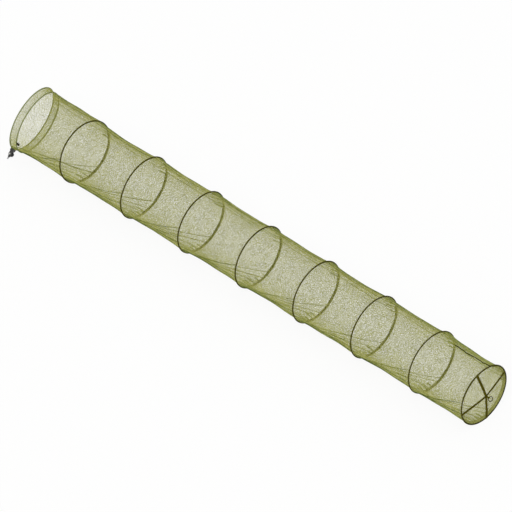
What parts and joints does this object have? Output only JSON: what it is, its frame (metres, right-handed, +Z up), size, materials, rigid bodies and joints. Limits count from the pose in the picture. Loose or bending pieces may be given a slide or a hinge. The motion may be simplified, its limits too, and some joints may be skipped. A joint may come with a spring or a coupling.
{
  "type": "keep net",
  "caption": "Long tube of fine netting on round rings, with a tilting bank stick block on its mouth ring and straps crossed over its closed base.",
  "frame": {"origin": "on the surface that the rings stand on, below the middle of the whole object", "axes": "+X along the net from its mouth to its base, +Z up"},
  "size_m": [3.6894, 0.4244, 0.4223],
  "materials": {
    "netting": "fine knitted mesh of olive green thread",
    "collar_netting": "dense knitted mesh of green thread",
    "sleeve_tape": "olive tape folded over the ring and sewn",
    "ring_rod": "smooth moulded rod",
    "webbing": "woven webbing",
    "label": "dark woven label, bare",
    "block_nylon": "black moulded nylon",
    "plated_steel": "zinc plated",
    "stud_alloy": "turned alloy",
    "pull_ring_plastic": "dark moulded ring"
  },
  "bodies": {
    "mouth": {"mouth_ring": "ring_rod", "mouth_sleeve": "sleeve_tape", "collar_band": "collar_netting", "clamp_body": "block_nylon", "clamp_cap": "block_nylon", "clamp_screw_1": "plated_steel", "clamp_screw_2": "plated_steel", "pivot_bolt": "plated_steel"},
    "knob": {"lock_knob": "block_nylon"},
    "arm": {"stud_arm": "block_nylon", "bank_stick_stud": "stud_alloy"},
    "collar": {"collar_ring": "ring_rod", "collar_sleeve": "sleeve_tape", "tag": "label", "net_panel_1": "netting"},
    "ring_1": {"body_ring_1": "ring_rod", "ring_sleeve_1": "sleeve_tape", "net_panel_2": "netting"},
    "ring_2": {"body_ring_2": "ring_rod", "ring_sleeve_2": "sleeve_tape", "net_panel_3": "netting"},
    "ring_3": {"body_ring_3": "ring_rod", "ring_sleeve_3": "sleeve_tape", "net_panel_4": "netting"},
    "ring_4": {"body_ring_4": "ring_rod", "ring_sleeve_4": "sleeve_tape", "net_panel_5": "netting"},
    "ring_5": {"body_ring_5": "ring_rod", "ring_sleeve_5": "sleeve_tape", "net_panel_6": "netting"},
    "ring_6": {"body_ring_6": "ring_rod", "ring_sleeve_6": "sleeve_tape", "net_panel_7": "netting"},
    "ring_7": {"body_ring_7": "ring_rod", "ring_sleeve_7": "sleeve_tape", "net_panel_8": "netting"},
    "base": {"base_ring": "ring_rod", "base_sleeve": "sleeve_tape", "base_net": "netting", "strap_under": "webbing", "strap_over": "webbing", "pull_ring_keeper": "webbing"},
    "pull": {"pull_ring": "pull_ring_plastic"}
  },
  "joints": [
    {"name": "arm_tilt", "type": "hinge", "parent": "mouth", "child": "arm", "pos_m": [-1.81048, -0.18382, 0.05561], "axis": [0.1426, -0.6375, 0.7571], "range_deg": [-90, 90]},
    {"name": "knob_turn", "type": "hinge", "parent": "mouth", "child": "knob", "pos_m": [-1.81048, -0.18382, 0.05561], "axis": [0.1426, -0.6375, 0.7571], "range_deg": [0, 360]},
    {"name": "collar_slide", "type": "slide", "parent": "mouth", "child": "collar", "axis": [1, 0, 0], "range_m": [-0.0245, 0], "deforming": ["collar_band"]},
    {"name": "ring_1_slide", "type": "slide", "parent": "collar", "child": "ring_1", "axis": [1, 0, 0], "range_m": [-0.32, 0], "deforming": ["net_panel_1"]},
    {"name": "ring_2_slide", "type": "slide", "parent": "ring_1", "child": "ring_2", "axis": [1, 0, 0], "range_m": [-0.44, 0], "deforming": ["net_panel_2"]},
    {"name": "ring_3_slide", "type": "slide", "parent": "ring_2", "child": "ring_3", "axis": [1, 0, 0], "range_m": [-0.444, 0], "deforming": ["net_panel_3"]},
    {"name": "ring_4_slide", "type": "slide", "parent": "ring_3", "child": "ring_4", "axis": [1, 0, 0], "range_m": [-0.444, 0], "deforming": ["net_panel_4"]},
    {"name": "ring_5_slide", "type": "slide", "parent": "ring_4", "child": "ring_5", "axis": [1, 0, 0], "range_m": [-0.444, 0], "deforming": ["net_panel_5"]},
    {"name": "ring_6_slide", "type": "slide", "parent": "ring_5", "child": "ring_6", "axis": [1, 0, 0], "range_m": [-0.444, 0], "deforming": ["net_panel_6"]},
    {"name": "ring_7_slide", "type": "slide", "parent": "ring_6", "child": "ring_7", "axis": [1, 0, 0], "range_m": [-0.444, 0], "deforming": ["net_panel_7"]},
    {"name": "base_slide", "type": "slide", "parent": "ring_7", "child": "base", "axis": [1, 0, 0], "range_m": [-0.395, 0], "deforming": ["net_panel_8"]},
    {"name": "pull_ring_hinge", "type": "hinge", "parent": "base", "child": "pull", "pos_m": [1.81357, 0.00091, 0.19602], "axis": [0, 0.7314, 0.682], "range_deg": [-85, 85]}
  ]
}
